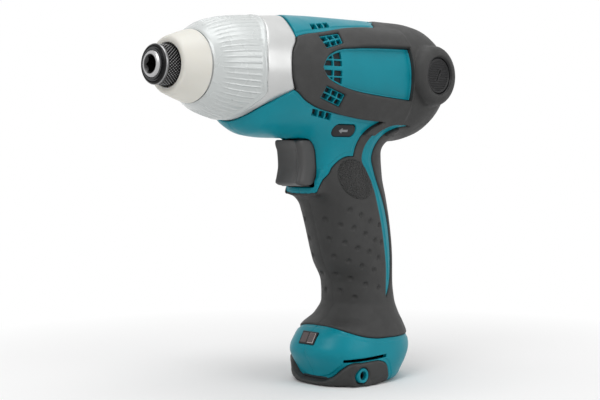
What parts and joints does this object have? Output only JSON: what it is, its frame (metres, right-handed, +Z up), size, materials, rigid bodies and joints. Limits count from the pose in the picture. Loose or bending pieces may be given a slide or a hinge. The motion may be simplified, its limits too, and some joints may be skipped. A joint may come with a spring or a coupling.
{
  "type": "impact driver",
  "caption": "Compact corded pistol-grip impact driver: motor, planetary gear, spring hammer, anvil with quick-change hex sleeve, trigger and reversing lever.",
  "frame": {"origin": "on the flat underside of the foot, in the tool's middle plane", "axes": "+X along the spindle towards the bit, +Y to the tool's left, +Z up"},
  "size_m": [0.187, 0.067, 0.1882],
  "materials": {
    "shell_plastic": "satin",
    "soft_rubber": "matte",
    "case_aluminium": "satin",
    "cover_plastic": "satin",
    "bumper_rubber": "matte",
    "black_plastic": "satin",
    "trigger_plastic": "satin",
    "plated_steel": "satin",
    "hard_steel": "satin",
    "black_steel": "satin",
    "insert_brass": "satin",
    "winding_copper": "satin",
    "core_steel": "satin",
    "lens_plastic": "gloss",
    "board_green": "satin",
    "suppressor_yellow": "satin",
    "carbon": "matte",
    "washer_plastic": "satin"
  },
  "bodies": {
    "housing": {"housing_left": "shell_plastic", "housing_right": "shell_plastic", "overmould_left": "soft_rubber", "overmould_right": "soft_rubber", "foot_boot": "soft_rubber", "hammer_case": "case_aluminium", "case_cover": "cover_plastic", "nose_bumper": "bumper_rubber", "brush_caps": "black_plastic", "housing_screws": "plated_steel", "hook_inserts": "insert_brass", "led_lens": "lens_plastic", "led_board": "board_green", "cord_gland": "soft_rubber", "switch_body": "black_plastic", "noise_suppressor": "suppressor_yellow", "trigger_spring": "plated_steel", "anvil_bush": "insert_brass", "anvil_washer": "washer_plastic", "ring_gear": "hard_steel", "bearing_box": "black_plastic", "spindle_bearing_outer": "plated_steel", "front_bearing_outer": "plated_steel", "rear_bearing_outer": "plated_steel", "rear_rubber_ring": "soft_rubber", "baffle_plate": "black_plastic", "field_core": "core_steel", "field_coils": "winding_copper", "brush_holders": "insert_brass", "carbon_brushes": "carbon", "brush_springs": "plated_steel"},
    "armature": {"armature_shaft": "hard_steel", "armature_core": "core_steel", "armature_windings": "winding_copper", "commutator": "winding_copper", "cooling_fan": "black_plastic", "front_bearing_inner": "plated_steel", "rear_bearing_inner": "plated_steel", "motor_bearing_balls": "plated_steel"},
    "spindle": {"spindle": "hard_steel", "planet_pins": "plated_steel", "spindle_bearing_inner": "plated_steel", "spindle_bearing_balls": "plated_steel", "hammer_spring": "hard_steel"},
    "planet_1": {"planet_gear_1": "hard_steel"},
    "planet_2": {"planet_gear_2": "hard_steel"},
    "planet_3": {"planet_gear_3": "hard_steel"},
    "hammer_carriage": {"hammer_washer": "plated_steel", "hammer_balls": "plated_steel"},
    "hammer": {"hammer": "hard_steel", "cam_balls": "plated_steel"},
    "anvil": {"anvil": "hard_steel", "sleeve_spring": "plated_steel", "sleeve_washer": "hard_steel", "sleeve_ring": "black_steel"},
    "sleeve": {"sleeve": "black_steel"},
    "bit_ball_left": {"bit_ball_left": "plated_steel"},
    "bit_ball_right": {"bit_ball_right": "plated_steel"},
    "trigger": {"trigger": "trigger_plastic"},
    "reversing_lever": {"reversing_lever": "black_plastic"}
  },
  "joints": [
    {"name": "motor_spin", "type": "hinge", "parent": "housing", "child": "armature", "pos_m": [0, 0, 0.159], "axis": [1, 0, 0], "continuous": true},
    {"name": "spindle_spin", "type": "hinge", "parent": "housing", "child": "spindle", "pos_m": [0, 0, 0.159], "axis": [1, 0, 0], "continuous": true},
    {"name": "anvil_spin", "type": "hinge", "parent": "housing", "child": "anvil", "pos_m": [0, 0, 0.159], "axis": [1, 0, 0], "continuous": true},
    {"name": "planet_1_spin", "type": "hinge", "parent": "spindle", "child": "planet_1", "pos_m": [0, 0.012, 0.159], "axis": [1, 0, 0], "continuous": true},
    {"name": "planet_2_spin", "type": "hinge", "parent": "spindle", "child": "planet_2", "pos_m": [0, -0.006, 0.16939], "axis": [1, 0, 0], "continuous": true},
    {"name": "planet_3_spin", "type": "hinge", "parent": "spindle", "child": "planet_3", "pos_m": [0, -0.006, 0.14861], "axis": [1, 0, 0], "continuous": true},
    {"name": "hammer_retreat", "type": "slide", "parent": "spindle", "child": "hammer_carriage", "axis": [-1, 0, 0], "range_m": [0, 0.0065], "stiffness_N_per_m": 6000, "springref_m": -0.004, "deforming": ["hammer_spring"]},
    {"name": "hammer_turn", "type": "hinge", "parent": "hammer_carriage", "child": "hammer", "pos_m": [0, 0, 0.159], "axis": [1, 0, 0], "range_deg": [-36, 0]},
    {"name": "sleeve_pull", "type": "slide", "parent": "anvil", "child": "sleeve", "axis": [1, 0, 0], "range_m": [0, 0.0035], "stiffness_N_per_m": 900, "springref_m": -0.003, "deforming": ["sleeve_spring"]},
    {"name": "bit_ball_left_out", "type": "slide", "parent": "anvil", "child": "bit_ball_left", "axis": [0, 1, 0], "range_m": [0, 0.0008]},
    {"name": "bit_ball_right_out", "type": "slide", "parent": "anvil", "child": "bit_ball_right", "axis": [0, -1, 0], "range_m": [0, 0.0008]},
    {"name": "trigger_pull", "type": "slide", "parent": "housing", "child": "trigger", "axis": [-1, 0, 0], "range_m": [0, 0.007], "stiffness_N_per_m": 600, "springref_m": -0.004, "deforming": ["trigger_spring"]},
    {"name": "reversing_lever_slide", "type": "slide", "parent": "housing", "child": "reversing_lever", "axis": [0, 1, 0], "range_m": [-0.0025, 0.0025]}
  ],
  "couplings": [
    {"joint": "spindle_spin", "follows": "motor_spin", "ratio": 0.15},
    {"joint": "anvil_spin", "follows": "motor_spin", "ratio": 0.15},
    {"joint": "planet_1_spin", "follows": "motor_spin", "ratio": -0.36429},
    {"joint": "planet_2_spin", "follows": "motor_spin", "ratio": -0.36429},
    {"joint": "planet_3_spin", "follows": "motor_spin", "ratio": -0.36429},
    {"joint": "hammer_turn", "follows": "hammer_retreat", "rad_per_m": -93.979},
    {"joint": "bit_ball_left_out", "follows": "sleeve_pull", "ratio": 0.22855},
    {"joint": "bit_ball_right_out", "follows": "sleeve_pull", "ratio": 0.22855}
  ]
}
